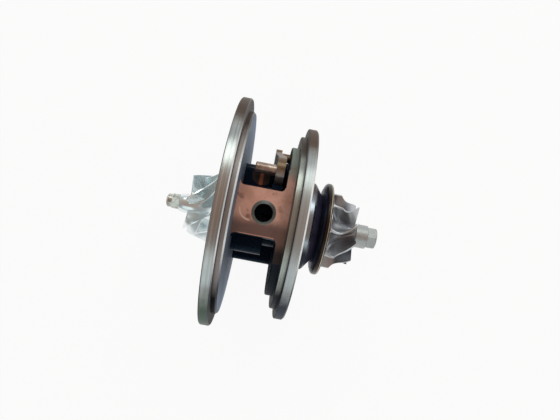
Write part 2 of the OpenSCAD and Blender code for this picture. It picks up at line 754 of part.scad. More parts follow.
module oil_flinger() {
  color("gray") difference() {
    union() {
      bar(flinger_hub_r, comp_wheel_back_x, flinger_face_x);
      bar(flinger_r, flinger_face_x - flinger_flange_w, flinger_face_x);
    }
    bar(stub_r + seat_clear, comp_wheel_back_x - 1, flinger_face_x + 1);
    tube(flinger_hub_r - 1.2, flinger_hub_r + 1, plate_x + 0.6, plate_x + 0.6 + ring_w);
  }
}

module thrust_sleeve() {
  color("gray") tube(stub_r + seat_clear, sleeve_r, flinger_face_x, washer_x);
}

module thrust_washer() {
  color("gray") tube(stub_r + seat_clear, flinger_r, washer_x, shoulder_x);
}

// Outline of an arm with an eye of radius r0 at its pivot and r1 at its far end, and a hole in each
module arm(l, r0, r1, hole_0, hole_1) {
  difference() {
    union() {
      circle(r0);
      translate([l, 0]) circle(r1);
      polygon([[0, -0.85 * r0], [l, -0.85 * r1], [l, 0.85 * r1], [0, 0.85 * r0]]);
    }
    circle(hole_0);
    translate([l, 0]) circle(hole_1);
  }
}

// Side view of the cranked lever: thin at the spindle, then bent towards the turbine flange
module lever_side() {
  far = lever_l + lever_eye_r + 1;
  near = -spindle_eye_r - 1;
  translate([0, 0, -lever_eye_r - 1]) linear_extrude(2 * lever_eye_r + 2) polygon([
    [eye_x, near], [eye_x, 0.3 * lever_l], [lever_x, 0.68 * lever_l], [lever_x, far],
    [lever_end_x, far], [lever_end_x, 0.6 * lever_l], [eye_x + eye_t, 0.22 * lever_l], [eye_x + eye_t, near]
  ]);
}

module vane_lever() {
  color("rosybrown") translate([0, spindle_y, 0]) rotate([lever_angle, 0, 0]) intersection() {
    slab(eye_x - 1, lever_end_x + 1)
      arm(lever_l, spindle_eye_r, lever_eye_r, spindle_r + seat_clear, pin_r - 0.6 + seat_clear);
    lever_side();
  }
}

module vane_lever_pin() {
  color("silver") translate([0, pin_pos[0], pin_pos[1]]) union() {
    turned([[0, pin_x], [pin_r - 0.5, pin_x], [pin_r, pin_x + 0.5], [pin_r, lever_x], [0, lever_x]]);
    bar(pin_r - 0.6, lever_x - 0.5, lever_end_x);
  }
}

module vane_spindle() {
  color("silver") translate([0, spindle_y, 0]) bar(spindle_r, eye_x, crank_x + crank_t);
}

module inner_crank() {
  color("gray") union() {
    translate([0, spindle_y, 0]) rotate([crank_angle, 0, 0]) slab(crank_x, crank_x + crank_t)
      arm(crank_l, spindle_eye_r + 0.3, crank_pin_r + 1.6, spindle_r + seat_clear, crank_pin_r);
    translate([0, crank_pos[0], crank_pos[1]])
      bar(crank_pin_r, crank_x, crank_x + crank_t + block_l + 0.3);
  }
}

module crank_block() {
  color("silver") translate([0, crank_pos[0], crank_pos[1]]) difference() {
    slab(crank_x + crank_t + thrust_gap, crank_x + crank_t + block_l)
      polygon(rounded_box(-block_w / 2, block_w / 2, -block_w / 2, block_w / 2, 1));
    bar(crank_pin_r + run_clear, crank_x + crank_t - 1, crank_x + crank_t + block_l + 1);
  }
}

bearing_housing();
compressor_flange();
turbine_flange();
seal_plate();
seal_plate_o_ring();
seal_plate_screws();
oil_deflector();
thrust_bearing();
thrust_dowels();
compressor_piston_ring();
turbine_piston_ring();
bearing_circlips();
heat_shield();
spindle_bush();
journal_bearing_compressor_side();
journal_bearing_turbine_side();
rotor_shaft();
turbine_wheel();
compressor_wheel();
compressor_nut();
oil_flinger();
thrust_sleeve();
thrust_washer();
vane_lever();
vane_lever_pin();
vane_spindle();
inner_crank();
crank_block();
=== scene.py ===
import json
import math
from types import SimpleNamespace

import bpy
from mathutils import Matrix, Vector


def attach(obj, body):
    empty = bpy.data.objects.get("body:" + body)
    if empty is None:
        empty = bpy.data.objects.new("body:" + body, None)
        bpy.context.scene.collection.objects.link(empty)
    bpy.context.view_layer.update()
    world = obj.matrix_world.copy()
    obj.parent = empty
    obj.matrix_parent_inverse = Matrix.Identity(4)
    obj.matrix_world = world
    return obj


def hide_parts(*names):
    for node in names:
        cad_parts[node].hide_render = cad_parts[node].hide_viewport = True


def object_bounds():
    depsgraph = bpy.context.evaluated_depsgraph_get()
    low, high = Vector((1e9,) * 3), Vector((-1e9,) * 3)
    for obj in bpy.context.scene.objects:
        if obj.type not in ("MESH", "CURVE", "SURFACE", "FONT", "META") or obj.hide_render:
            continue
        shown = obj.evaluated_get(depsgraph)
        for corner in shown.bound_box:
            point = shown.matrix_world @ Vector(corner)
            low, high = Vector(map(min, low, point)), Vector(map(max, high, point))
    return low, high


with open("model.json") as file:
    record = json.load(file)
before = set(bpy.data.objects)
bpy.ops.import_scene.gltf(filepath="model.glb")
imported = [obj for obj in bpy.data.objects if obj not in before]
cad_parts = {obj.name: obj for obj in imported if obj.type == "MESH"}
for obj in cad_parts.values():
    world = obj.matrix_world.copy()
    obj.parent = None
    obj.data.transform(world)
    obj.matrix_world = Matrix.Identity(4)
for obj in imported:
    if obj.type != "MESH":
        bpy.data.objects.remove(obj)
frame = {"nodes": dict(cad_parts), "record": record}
cad_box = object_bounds()
nodes = frame["nodes"]

# The frame and the shaders count in metres
MM = 0.001

# Sizes of the casting in millimetres: x runs along the shaft, r is the distance from it, z is up
comp_back_x = 5.3
comp_step_w = 2.7
comp_step_r, comp_rim_r = 56.0, 62.8
plate_seat_r, plate_bore_r = 26.0, 22.4
flange_gap = 22.9
turb_inner_w, turb_step_w, turb_rim_w = 3.8, 2.95, 5.15
turb_inner_r, turb_step_r, turb_rim_r = 41.4, 48.0, 52.9
recess_w, recess_in_r, recess_out_r = 5.0, 26.0, 45.2
hub_w, hub_foot_r = 5.6, 26.6
shaft_space_r, shaft_space_half_w = 22.0, 13.0
tower_z = 34.0
inlet_from_flange, inlet_depth, inlet_sink_r = 14.25, 19.0, 6.1
pin_seat_z, pin_seat_from_y = 8.6, 15.0
drain_z = 38.0

# Places that follow from them
comp_step_x = comp_back_x - comp_step_w
turb_front_x = comp_back_x + flange_gap
turb_inner_x = turb_front_x + turb_inner_w
turb_face_x = turb_inner_x + turb_step_w + turb_rim_w
hub_end_x = turb_face_x + hub_w
inlet_x = comp_back_x + inlet_from_flange
inlet_floor_z = tower_z - inlet_depth

# Faces are told apart by their place, within a slack, and by the share of their normal along an axis
slack, touch = 0.3, 0.1
facing, level = 0.9, 0.97


class ShaderTree:
    """A node tree with short ways to add to it. An input is a value or the output of another node."""

    def __init__(self, tree):
        self.tree = tree

    def feed(self, socket, value):
        if isinstance(value, bpy.types.NodeSocket):
            self.tree.links.new(value, socket)
        else:
            socket.default_value = value

    def add(self, kind, inputs=None, **settings):
        node = self.tree.nodes.new(kind)
        for key, value in settings.items():
            setattr(node, key, value)
        for key, value in (inputs or {}).items():
            self.feed(node.inputs[key], value)
        return node

    def math(self, operation, a, b=0.0):
        return self.add("ShaderNodeMath", {0: a, 1: b}, operation=operation).outputs[0]

    def plus(self, a, b):
        return self.math("ADD", a, b)

    def minus(self, a, b):
        return self.math("SUBTRACT", a, b)

    def times(self, a, b):
        return self.math("MULTIPLY", a, b)

    def greater(self, a, b):
        return self.math("MAXIMUM", a, b)

    def apart(self, a, b):
        return self.math("ABSOLUTE", self.minus(a, b))

    def length(self, a, b):
        return self.math("SQRT", self.plus(self.times(a, a), self.times(b, b)))


class Paint(ShaderTree):
    """One procedural material, built around a Principled shader and the part's own coordinates."""

    def __init__(self, name, metallic, roughness, specular=0.5):
        self.material = bpy.data.materials.new(name)
        self.material.use_nodes = True
        super().__init__(self.material.node_tree)
        self.shader = next(node for node in self.tree.nodes if node.type == "BSDF_PRINCIPLED")
        self.shader.inputs["Metallic"].default_value = metallic
        self.shader.inputs["Roughness"].default_value = roughness
        self.shader.inputs["Specular IOR Level"].default_value = specular
        self.place = self.add("ShaderNodeTexCoord").outputs["Object"]
        self.x, self.y, self.z = self.add("ShaderNodeSeparateXYZ", {0: self.place}).outputs
        self.r = self.length(self.y, self.z)

    def ramp(self, value, low, high):
        """0 at low and 1 at high, smooth between."""
        inputs = {"Value": value, "From Min": low, "From Max": high}
        return self.add("ShaderNodeMapRange", inputs, interpolation_type="SMOOTHSTEP").outputs["Result"]

    def between(self, share, low, high):
        """low where the share is 0 and high where it is 1."""
        inputs = {"Value": share, "To Min": low, "To Max": high}
        return self.add("ShaderNodeMapRange", inputs).outputs["Result"]

    def mix(self, cover, base, top, blend="MIX"):
        """The base colour where cover is 0 and the top colour where it is 1."""
        node = self.add("ShaderNodeMix", data_type="RGBA", blend_type=blend)
        self.feed(node.inputs["Factor"], cover)
        colors = [socket for socket in node.inputs if socket.type == "RGBA"]
        self.feed(colors[0], base)
        self.feed(colors[1], top)
        return next(socket for socket in node.outputs if socket.type == "RGBA")

    def noise(self, scale, detail, rough, vector=None):
        inputs = {"Vector": vector or self.place, "Scale": scale, "Detail": detail, "Roughness": rough}
        return self.add("ShaderNodeTexNoise", inputs).outputs[0]

    def turned_noise(self, scale, detail, rough, slow=0.6 * MM):
        """Noise as a lathe tool leaves it: fine along axis and radius, slow and seamless round the axis."""
        share = self.math("DIVIDE", slow, self.r)
        vector = self.add("ShaderNodeCombineXYZ", {0: self.x, 1: self.r, 2: self.times(self.y, share)})
        inputs = {"Vector": vector.outputs[0], "W": self.times(self.z, share), "Scale": scale,
                  "Detail": detail, "Roughness": rough}
        return self.add("ShaderNodeTexNoise", inputs, noise_dimensions="4D").outputs[0]

    def finish(self, color, roughness, height, depth):
        """Link colour, roughness and a bump of this depth, and give the material."""
        self.feed(self.shader.inputs["Base Color"], color)
        self.feed(self.shader.inputs["Roughness"], roughness)
        bump = self.add("ShaderNodeBump", {"Height": height, "Distance": depth})
        self.feed(self.shader.inputs["Normal"], bump.outputs["Normal"])
        return self.material


def rgb(*levels):
    """A colour as it looks on screen, 0 to 255, as linear light."""
    def linear(level):
        share = level / 255.0
        return share / 12.92 if share <= 0.04045 else ((share + 0.055) / 1.055) ** 2.4
    return tuple(linear(level) for level in levels) + (1.0,)


def turned_steel(name, light, dark, rough, metallic=1.0, wear_and_edge_highlight=0.5, streak=0.3,
                 lever_side_shading=None, lever_shading_from=(0.5, 0.74), plain_side_shading=None, plain_shading_from=(0.66, 0.88)):
    """Lathe-turned steel with fine rings and stains.

    Where its colour is given, a painted shade and reflection, with a duller finish, grows towards the
    lever's side, +y, or the plain side, -y.
    It begins at the first and is full at the second of two shares of the radius.
    """
    coat = Paint(name, metallic, rough, specular=0.05)
    rings = coat.turned_noise(2600.0, 2.0, 0.6)
    lines = coat.turned_noise(900.0, 2.0, 0.5, slow=0.36 * MM)
    broad = coat.turned_noise(420.0, 3.0, 0.5)
    stain = coat.noise(75.0, 5.0, 0.6)
    specks = coat.noise(900.0, 3.0, 0.6)
    grime = tuple(0.4 * level for level in dark)
    base = coat.mix(rings, dark, light)
    base = coat.mix(coat.times(coat.ramp(lines, 0.46, 0.62), streak), base, grime)
    base = coat.mix(coat.times(coat.ramp(stain, 0.5, 0.72), wear_and_edge_highlight), base, dark)
    side = coat.plus(coat.math("DIVIDE", coat.y, coat.r), coat.between(stain, -0.1, 0.1))
    fleck = coat.between(rings, 0.8, 1.2)
    dull = 0.0
    # Painted shade and reflection towards each side, where the metal is also made less metallic and rougher
    side_shading = ((lever_side_shading, side, lever_shading_from), (plain_side_shading, coat.times(side, -1.0), plain_shading_from))
    for end, toward, limits in side_shading:
        if end:
            cover = coat.ramp(toward, *limits)
            base = coat.mix(cover, base, coat.mix(1.0, end, fleck, "MULTIPLY"))
            dull = coat.greater(dull, cover)
    base = coat.mix(coat.times(coat.ramp(specks, 0.66, 0.74), 0.45), base, rgb(52, 44, 38))
    coat.feed(coat.shader.inputs["Metallic"], coat.between(dull, metallic, 0.04 * metallic))
    fine = coat.plus(coat.between(rings, rough - 0.06, rough + 0.06), coat.times(dull, 0.12))
    height = coat.plus(coat.times(rings, 0.6), coat.times(broad, 0.4))
    return coat.finish(base, coat.plus(fine, coat.between(stain, -0.05, 0.07)), height, 0.03 * MM)


def cast_iron(name, rough, specular):
    """Rough sand-cast iron with an oily blue-black skin and small bright grains."""
    dark, light = rgb(9, 20, 36), rgb(26, 43, 64)
    coat = Paint(name, 0.0, rough, specular)
    coat.shader.inputs["Specular Tint"].default_value = (0.45, 0.72, 1.0, 1.0)
    grain = coat.noise(1000.0, 4.0, 0.65)
    lumps = coat.noise(260.0, 4.0, 0.6)
    patch = coat.noise(60.0, 3.0, 0.5)
    base = coat.mix(coat.ramp(grain, 0.4, 0.75), dark, light)
    base = coat.mix(coat.ramp(patch, 0.5, 0.7), base, coat.mix(0.6, base, dark))
    base = coat.mix(coat.times(coat.ramp(grain, 0.64, 0.72), 0.5), base, rgb(86, 102, 116))
    height = coat.plus(coat.times(grain, 0.4), coat.times(lumps, 0.6))
    return coat.finish(base, coat.between(grain, rough - 0.2, rough + 0.1), height, 0.3 * MM)


def metal(name, light, dark, rough, metallic=1.0, stain_scale=120.0):
    """A plain worked metal with fine grain and faint stains."""
    coat = Paint(name, metallic, rough)
    fine = coat.noise(900.0, 4.0, 0.6)
    stain = coat.noise(stain_scale, 4.0, 0.55)
    base = coat.mix(coat.ramp(stain, 0.3, 0.72), light, dark)
    roughness = coat.plus(coat.between(fine, rough - 0.06, rough + 0.08), coat.between(stain, -0.05, 0.05))
    return coat.finish(base, roughness, fine, 0.06 * MM)


def flange_face():
    """Turned face inside the gap: bluish, with a painted shade towards the tower, so brighter near its ends.
    """
    light, dark, gap_shade = rgb(154, 177, 205), rgb(128, 147, 172), rgb(124, 137, 155)
    coat = Paint("flange_face", 0.25, 0.6, specular=0.1)
    fine = coat.noise(1000.0, 4.0, 0.6)
    rings = coat.turned_noise(1500.0, 2.0, 0.6)
    stain = coat.noise(90.0, 4.0, 0.55)
    base = coat.mix(coat.ramp(stain, 0.3, 0.72), light, dark)
    base = coat.mix(coat.times(rings, 0.35), base, dark)
    # Painted shade on the face towards the tower
    away = coat.plus(coat.math("ABSOLUTE", coat.y), coat.between(stain, -6.0 * MM, 6.0 * MM))
    base = coat.mix(coat.ramp(away, 14.0 * MM, 54.0 * MM), gap_shade, base)
    roughness = coat.plus(coat.between(fine, 0.5, 0.68), coat.between(stain, -0.06, 0.06))
    height = coat.plus(coat.times(fine, 0.5), coat.times(rings, 0.5))
    return coat.finish(base, roughness, height, 0.05 * MM)


def inlet_face():
    """The milled oil inlet face: copper-coloured film, darker stains, a crescent scuff by the hole, and
    painted sheen, shade and highlight.
    """
    dent_x, dent_y = 12.4 * MM, -3.0 * MM
    scuff_x, scuff_y, scuff_r = 13.0 * MM, 0.6 * MM, 5.4 * MM
    coat = Paint("inlet_face", 0.25, 0.36)
    fine = coat.noise(1300.0, 4.0, 0.6)
    cloud = coat.noise(95.0, 5.0, 0.6)
    blot = coat.noise(210.0, 4.0, 0.65)
    along = coat.add("ShaderNodeCombineXYZ", {0: coat.times(coat.x, 0.06), 1: coat.y})
    lines = coat.noise(900.0, 2.0, 0.5, along.outputs[0])
    y = coat.plus(coat.y, coat.between(cloud, -3.0 * MM, 3.0 * MM))

    # Film, stains, a painted sheen towards the turbine flange and the painted shade of a small dent
    base = coat.mix(coat.ramp(cloud, 0.3, 0.7), rgb(246, 190, 170), rgb(214, 160, 140))
    base = coat.mix(coat.times(coat.ramp(blot, 0.57, 0.68), 0.6), base, rgb(120, 84, 70))
    painted_sheen = coat.times(coat.ramp(coat.x, 17.0 * MM, 27.0 * MM), coat.ramp(cloud, 0.62, 0.42))
    base = coat.mix(coat.times(painted_sheen, 0.55), base, rgb(255, 208, 194))
    base = coat.mix(coat.times(lines, 0.2), base, rgb(166, 118, 100))
    # Painted shade of a small dent
    off_dent = coat.length(coat.minus(coat.x, dent_x), coat.minus(coat.y, dent_y))
    dent_shade = coat.ramp(off_dent, 1.9 * MM, 0.6 * MM)
    base = coat.mix(coat.times(dent_shade, 0.6), base, rgb(116, 76, 60))

    # Dark band on the plain side, with the scuff over it
    base = coat.mix(coat.times(coat.ramp(y, -1.2 * MM, -7.8 * MM), 0.9), base, rgb(104, 80, 76))
    off_arc = coat.apart(coat.length(coat.minus(coat.x, scuff_x), coat.minus(coat.y, scuff_y)), scuff_r)
    below = coat.minus(scuff_x + scuff_y, coat.plus(coat.x, coat.y))
    arc = coat.times(coat.ramp(off_arc, 0.6 * MM, 0.2 * MM), coat.ramp(below, 4.4 * MM, 5.8 * MM))
    base = coat.mix(coat.times(arc, 0.8), base, rgb(255, 214, 194))

    # A painted highlight along the edge of the tower, the strip on the flange, and the two ends of that
    # strip
    # Painted highlight along the tower's edge on the plain side
    wear_and_edge_highlight = coat.times(coat.ramp(coat.x, 7.5 * MM, 10.5 * MM), coat.ramp(coat.x, 27.2 * MM, 26.2 * MM))
    wear_and_edge_highlight = coat.times(wear_and_edge_highlight, coat.ramp(coat.y, -11.2 * MM, -11.6 * MM))
    base = coat.mix(coat.times(wear_and_edge_highlight, 0.7), base, rgb(236, 176, 152))
    base = coat.mix(coat.times(coat.ramp(coat.x, 26.2 * MM, 29.0 * MM), 0.35), base, rgb(150, 118, 100))
    base = coat.mix(coat.ramp(y, 15.5 * MM, 23.5 * MM), base, rgb(146, 152, 142))
    base = coat.mix(coat.ramp(y, -11.5 * MM, -20.0 * MM), base, rgb(46, 40, 42))
    roughness = coat.plus(coat.between(fine, 0.32, 0.48), coat.between(cloud, -0.06, 0.06))
    height = coat.plus(coat.times(fine, 0.5), coat.times(lines, 0.5))
    return coat.finish(base, roughness, height, 0.06 * MM)


def cast_wheel(name, light, dark, passage_shade, rough, metallic, nose_x=None):
    """Satin cast blades with a painted shade in the passages between them, and grain beyond nose_x where it
    is given.
    """
    coat = Paint(name, metallic, rough)
    fine = coat.noise(2400.0, 3.0, 0.6)
    cloud = coat.noise(110.0, 3.0, 0.5)
    open_air = coat.add("ShaderNodeAmbientOcclusion", {"Distance": 14.0 * MM}, samples=8).outputs["AO"]
    base = coat.mix(coat.ramp(cloud, 0.35, 0.7), light, dark)
    # Painted shade where the blades close in the passages
    base = coat.mix(coat.ramp(open_air, 0.05, 0.75), passage_shade, base)
    roughness = coat.plus(coat.between(fine, rough - 0.03, rough + 0.04), coat.between(cloud, -0.03, 0.03))
    height = fine
    if nose_x:
        grain = coat.noise(1300.0, 4.0, 0.65)
        on_nose = coat.ramp(coat.x, nose_x * MM, (nose_x + 0.5) * MM)
        grey = coat.mix(coat.ramp(grain, 0.3, 0.7), rgb(170, 172, 171), rgb(194, 196, 195))
        base = coat.mix(on_nose, base, grey)
        roughness = coat.plus(roughness, coat.times(on_nose, coat.between(grain, 0.1, 0.3)))
        height = coat.plus(height, coat.times(on_nose, coat.times(grain, 3.0)))
    return coat.finish(base, roughness, height, 0.012 * MM)


def lever_film():
    """Lever steel: silvery at the rod pin, with a brown oil film towards the spindle."""
    coat = Paint("lever_metal", 0.65, 0.32)
    fine = coat.noise(1400.0, 3.0, 0.6)
    stain = coat.noise(240.0, 4.0, 0.6)
    y = coat.plus(coat.y, coat.between(stain, -3.0 * MM, 3.0 * MM))
    base = coat.mix(coat.ramp(y, 18.0 * MM, 25.0 * MM), rgb(186, 180, 174), rgb(118, 96, 74))
    base = coat.mix(coat.times(coat.ramp(stain, 0.48, 0.7), 0.6), base, rgb(84, 68, 54))
    return coat.finish(base, coat.between(fine, 0.26, 0.4), fine, 0.03 * MM)


def pin_seat():
    """The milled seat under the rod pin: oily and dark, with one reddish glint."""
    glint_x = 14.8 * MM
    coat = Paint("spot_face", 0.8, 0.3)
    swirl = coat.noise(700.0, 3.0, 0.6)
    glint = coat.ramp(coat.apart(coat.x, glint_x), 1.4 * MM, 0.6 * MM)
    base = coat.mix(swirl, rgb(38, 34, 36), rgb(66, 58, 56))
    base = coat.mix(coat.times(glint, 0.8), base, rgb(168, 104, 80))
    return coat.finish(base, coat.between(swirl, 0.25, 0.4), swirl, 0.04 * MM)


def shield_scale():
    """Heat-scaled sheet steel: blue-black back, dark brown rim with a thin straw-coloured worn line."""
    line_x = 53.6 * MM
    coat = Paint("shield_scale", 0.75, 0.3)
    fine = coat.noise(1100.0, 4.0, 0.6)
    cloud = coat.noise(140.0, 4.0, 0.6)
    base = coat.mix(cloud, rgb(36, 42, 60), rgb(70, 76, 96))
    rim = coat.ramp(coat.r, 24.9 * MM, 25.5 * MM)
    base = coat.mix(rim, base, coat.mix(cloud, rgb(30, 26, 28), rgb(58, 47, 43)))
    line = coat.times(coat.ramp(coat.apart(coat.x, line_x), 0.3 * MM, 0.1 * MM), rim)
    base = coat.mix(coat.times(line, coat.between(cloud, 0.5, 1.2)), base, rgb(214, 194, 162))
    inside = coat.times(coat.ramp(coat.x, 51.2 * MM, 52.2 * MM), coat.minus(1.0, rim))
    base = coat.mix(inside, base, rgb(74, 68, 66))
    return coat.finish(base, coat.between(fine, 0.22, 0.38), fine, 0.06 * MM)


# Paints of the casting
# The colours given for the lever's side and the plain side are painted shade and reflection
paints = {
    "rim": turned_steel(
        "turned_rim", rgb(203, 206, 204), rgb(166, 167, 165), 0.25,
        lever_side_shading=rgb(84, 70, 60), plain_side_shading=rgb(86, 106, 95), plain_shading_from=(0.58, 0.84)),
    "ring": turned_steel(
        "ring_face", rgb(120, 122, 132), rgb(92, 94, 104), 0.4, 0.8,
        lever_side_shading=rgb(92, 88, 90), lever_shading_from=(0.3, 0.9),
        plain_side_shading=rgb(6, 8, 14), plain_shading_from=(0.5, 0.8)),
    "step": turned_steel(
        "turned_step", rgb(192, 182, 178), rgb(154, 144, 140), 0.42, 0.6,
        lever_side_shading=rgb(84, 74, 70), plain_side_shading=rgb(12, 15, 22), plain_shading_from=(0.6, 0.82)),
    "face": flange_face(),
    "outer": turned_steel("outer_face", rgb(158, 157, 153), rgb(120, 119, 116), 0.36, 0.9, 0.4),
    "turbine_rim": turned_steel(
        "turned_rim_turbine", rgb(196, 200, 200), rgb(157, 160, 160), 0.32, 0.75,
        lever_side_shading=rgb(98, 82, 72), plain_side_shading=rgb(58, 66, 78), plain_shading_from=(0.62, 0.86)),
    "turbine_ring": turned_steel(
        "ring_face_turbine", rgb(130, 126, 122), rgb(96, 94, 92), 0.38, 0.7,
        lever_side_shading=rgb(96, 88, 80), plain_side_shading=rgb(26, 32, 44), plain_shading_from=(0.4, 0.7)),
    "turbine_step": turned_steel(
        "turned_step_turbine", rgb(190, 194, 186), rgb(146, 148, 142), 0.27, 0.85,
        lever_side_shading=rgb(84, 74, 68), plain_side_shading=rgb(34, 42, 52), plain_shading_from=(0.62, 0.84)),
    "turbine_inner": turned_steel(
        "inner_step_turbine", rgb(150, 130, 118), rgb(110, 96, 88), 0.4, 0.5,
        lever_side_shading=rgb(140, 150, 142), lever_shading_from=(0.5, 0.7),
        plain_side_shading=rgb(38, 46, 56), plain_shading_from=(0.3, 0.5)),
    "turbine_outer": turned_steel("outer_face_turbine", rgb(150, 146, 141), rgb(110, 106, 102), 0.38, 0.85),
    "recess": turned_steel("crank_recess", rgb(106, 102, 100), rgb(74, 70, 69), 0.44, 0.85),
    "edge": turned_steel(
        "edge_break", rgb(132, 132, 130), rgb(96, 94, 92), 0.34, streak=0.1,
        lever_side_shading=rgb(76, 66, 60), lever_shading_from=(0.5, 0.8),
        plain_side_shading=rgb(28, 33, 40), plain_shading_from=(0.35, 0.65)),
    # A painted highlight on the chamfers that face +x
    "polished_edge": turned_steel(
        "polished_edge", rgb(252, 252, 250), rgb(206, 206, 202), 0.2, streak=0.1,
        lever_side_shading=rgb(108, 98, 92), lever_shading_from=(0.3, 0.75),
        plain_side_shading=rgb(62, 68, 76), plain_shading_from=(0.3, 0.75)),
    "hub": turned_steel(
        "turned_hub", rgb(184, 190, 198), rgb(148, 156, 166), 0.24, 0.9,
        lever_side_shading=rgb(118, 110, 110), plain_side_shading=rgb(62, 70, 82), plain_shading_from=(0.4, 0.7)),
    "nose": metal("dark_cone", rgb(98, 98, 130), rgb(60, 58, 82), 0.4, 0.6),
    "pad": inlet_face(),
    "sink": metal("inlet_countersink", rgb(176, 178, 172), rgb(128, 128, 122), 0.34, 0.7),
    "bore": metal("oily_bore", rgb(66, 28, 33), rgb(38, 18, 23), 0.4, 0.3),
    "cast": cast_iron("cast_skin", 0.36, 0.12),
    "cast_dull": cast_iron("cast_skin_dull", 0.7, 0.02),
    "machined": metal("machined_iron", rgb(120, 118, 116), rgb(84, 82, 82), 0.34),
    "pin_seat": pin_seat(),
}

# Paints of the other pieces, by the record's material slots
slot_paints = {
    "turned_aluminium": metal("seal_plate_metal", rgb(215, 217, 220), rgb(170, 172, 176), 0.35),
    "rubber_ring": metal("o_ring_rubber", rgb(34, 34, 35), rgb(22, 22, 23), 0.6, 0.0),
    "screw_steel": metal("screw_metal", rgb(150, 150, 152), rgb(105, 105, 108), 0.38),
    "sheet_steel": metal("sheet_metal", rgb(185, 186, 188), rgb(140, 141, 144), 0.33),
    "bearing_brass": metal("bearing_metal", rgb(150, 116, 70), rgb(104, 78, 46), 0.34),
    "ring_iron": metal("ring_metal", rgb(125, 125, 128), rgb(85, 85, 90), 0.36),
    "scaled_steel": shield_scale(),
    "ground_steel": metal("ground_metal", rgb(205, 206, 208), rgb(165, 166, 170), 0.25),
    "cast_nickel_alloy": cast_wheel(
        "turbine_alloy", rgb(194, 196, 199), rgb(178, 180, 182), rgb(158, 158, 164), 0.3, 0.9, nose_x=71.2),
    "cast_aluminium": cast_wheel(
        "compressor_aluminium", rgb(242, 247, 247), rgb(226, 234, 235), rgb(222, 231, 233), 0.22, 0.96),
    "nut_steel": metal("nut_metal", rgb(206, 206, 198), rgb(150, 148, 140), 0.26, stain_scale=300.0),
    "lever_steel": lever_film(),
}
pin_paint = metal("pin_metal", rgb(202, 184, 170), rgb(150, 126, 110), 0.24, 0.6, stain_scale=260.0)


def assign(name, choose):
    """Give each face of a CAD node the paint that is chosen by its centre, its normal and its radius."""
    mesh = nodes[name].data
    chosen = []
    for face in mesh.polygons:
        centre = face.center / MM
        chosen.append(choose(centre, face.normal, math.hypot(centre.y, centre.z)))
    used = sorted(set(chosen))
    mesh.materials.clear()
    for paint in used:
        mesh.materials.append(paints[paint])
    for face, paint in zip(mesh.polygons, chosen):
        face.material_index = used.index(paint)


def slanted(normal):
    least, most = 0.2, 0.95
    return least < abs(normal.x) < most


def chamfer_paint(normal):
    # Chamfers that face +x get the painted highlight, the others the plain edge paint
    return "polished_edge" if normal.x > 0.0 else "edge"


def inward(centre, normal):
    return centre.y * normal.y + centre.z * normal.z < 0


def middle(a, b):
    return (a + b) / 2.0


def compressor_flange_paint(centre, normal, r):
    if r < plate_seat_r:
        return "bore" if inward(centre, normal) and r < plate_bore_r else "machined"
    if slanted(normal):
        return chamfer_paint(normal)
    if normal.x > facing:
        return "face" if centre.x > middle(comp_step_x, comp_back_x) else "ring"
    if normal.x < -facing:
        return "outer"
    return "rim" if r > middle(comp_step_r, comp_rim_r) else "step"


def turbine_flange_paint(centre, normal, r):
    on_inner_ring = centre.x < turb_inner_x + slack
    if normal.z > level and abs(centre.z - tower_z) < slack and on_inner_ring:
        return "pad"
    if r < shaft_space_r and inward(centre, normal):
        return "bore"
    below_face = turb_face_x - recess_w - slack < centre.x < turb_face_x - touch
    if below_face and recess_in_r < r < recess_out_r:
        return "recess"
    if centre.x > hub_end_x - slack:
        return "nose"
    if slanted(normal):
        return chamfer_paint(normal)
    if centre.x > turb_face_x - touch and r < hub_foot_r:
        return "hub"
    if normal.x < -facing:
        on_front = centre.x < turb_front_x + slack
        return "cast_dull" if on_front and r < turb_inner_r else "turbine_ring"
    if on_inner_ring and r < middle(turb_inner_r, turb_step_r):
        return "turbine_inner"
    if normal.x > facing:
        return "turbine_outer"
    return "turbine_rim" if r > middle(turb_step_r, turb_rim_r) else "turbine_step"


def bearing_housing_paint(centre, normal, r):
    floor_margin, sink_tilt = 1.0, 0.2
    above_inlet_floor = centre.z > inlet_floor_z - floor_margin
    in_inlet = math.hypot(centre.x - inlet_x, centre.y) < inlet_sink_r + slack
    if above_inlet_floor and in_inlet and abs(normal.z) < level:
        return "sink" if normal.z > sink_tilt else "bore"
    if centre.z > tower_z - slack and normal.z > level:
        return "pad"
    if abs(centre.z - pin_seat_z) < touch and normal.z > facing and centre.y > pin_seat_from_y:
        return "pin_seat"
    if centre.z < slack - drain_z and normal.z < -facing:
        return "machined"
    in_shaft_space = r < shaft_space_r and abs(centre.y) < shaft_space_half_w
    if in_shaft_space and inward(centre, normal) and not above_inlet_floor:
        return "bore"
    return "cast"


assign("compressor_flange", compressor_flange_paint)
assign("turbine_flange", turbine_flange_paint)
assign("bearing_housing", bearing_housing_paint)

for subpart in frame["record"]["subparts"]:
    if subpart["material_slot"] != "cast_housing":
        mesh = nodes[subpart["node"]].data
        mesh.materials.clear()
        mesh.materials.append(slot_paints[subpart["material_slot"]])
nodes["vane_lever_pin"].data.materials[0] = pin_paint


# New pieces are drawn in millimetres
def part_way(a, b, share):
    return a + (b - a) * share


def around(x, r, degrees):
    """The point at this radius from the shaft, turned from +y towards +z."""
    angle = math.radians(degrees)
    return (x, r * math.cos(angle), r * math.sin(angle))


